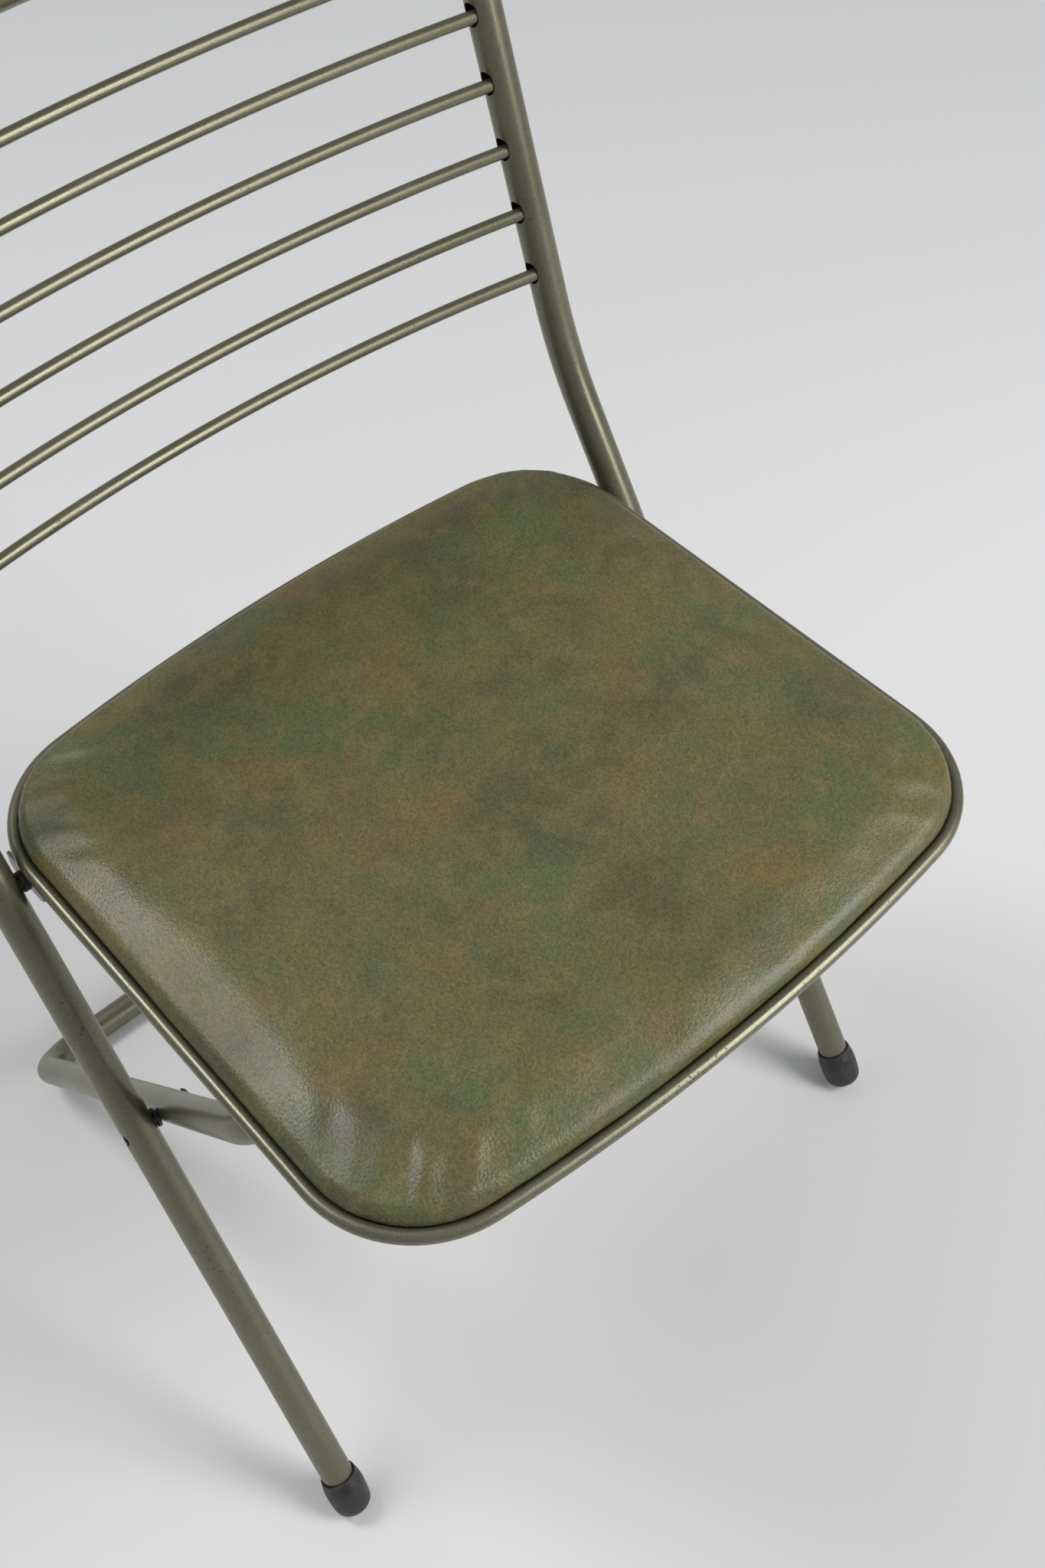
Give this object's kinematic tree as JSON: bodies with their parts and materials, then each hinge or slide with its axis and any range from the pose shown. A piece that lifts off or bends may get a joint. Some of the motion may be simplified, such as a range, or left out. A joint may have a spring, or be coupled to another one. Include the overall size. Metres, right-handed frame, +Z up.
{
  "type": "folding chair",
  "caption": "Folding chair with a bent tube frame, bowed back rods, crossing rear leg frame and a hinged steel seat pan with a vinyl pad.",
  "frame": {"origin": "on the floor, under the middle of the open chair's bounding box", "axes": "+X to the right as the chair is seen from its front, -Y towards the front edge of the seat, +Z up"},
  "size_m": [0.4776, 0.5084, 0.7818],
  "materials": {
    "olive_paint": "metallic olive bronze enamel, satin, worn at the edges",
    "vinyl": "vinyl leathercloth, mottled olive, brown and green, fine pebble grain, satin",
    "black_rubber": "moulded black rubber, semi-gloss",
    "black_washer": "black fibre washer",
    "dark_steel": "darkened steel rivet, satin",
    "zinc_steel": "zinc plated steel screw",
    "hardboard": "brown hardboard",
    "foam": "yellowed upholstery foam"
  },
  "bodies": {
    "main_frame": {"main_frame_tube": "olive_paint", "back_rod_1": "olive_paint", "back_rod_2": "olive_paint", "back_rod_3": "olive_paint", "back_rod_4": "olive_paint", "back_rod_5": "olive_paint", "back_rod_6": "olive_paint", "foot_tip_right": "black_rubber", "crossing_rivet_right": "dark_steel", "crossing_washer_right": "black_washer", "seat_rivet_right": "dark_steel", "seat_washer_right": "black_washer", "foot_tip_left": "black_rubber", "crossing_rivet_left": "dark_steel", "crossing_washer_left": "black_washer", "seat_rivet_left": "dark_steel", "seat_washer_left": "black_washer"},
    "rear_frame": {"rear_frame_tube": "olive_paint"},
    "seat": {"seat_pan": "olive_paint", "pad_board": "hardboard", "pad_foam": "foam", "pad_cover": "vinyl", "seat_lug_right": "olive_paint", "bar_stop_right": "olive_paint", "pad_screw_front_right": "zinc_steel", "pad_screw_rear_right": "zinc_steel", "seat_lug_left": "olive_paint", "bar_stop_left": "olive_paint", "pad_screw_front_left": "zinc_steel", "pad_screw_rear_left": "zinc_steel"}
  },
  "joints": [
    {"name": "rear_frame_fold", "type": "hinge", "parent": "main_frame", "child": "rear_frame", "pos_m": [0, -0.0123, 0.271], "axis": [-1, 0, 0], "range_deg": [0, 69]},
    {"name": "seat_fold", "type": "hinge", "parent": "main_frame", "child": "seat", "pos_m": [0, 0.07252, 0.4105], "axis": [-1, 0, 0], "range_deg": [0, 103.5]}
  ],
  "couplings": [
    {"joint": "rear_frame_fold", "follows": "seat_fold", "ratio": 0.66667}
  ]
}
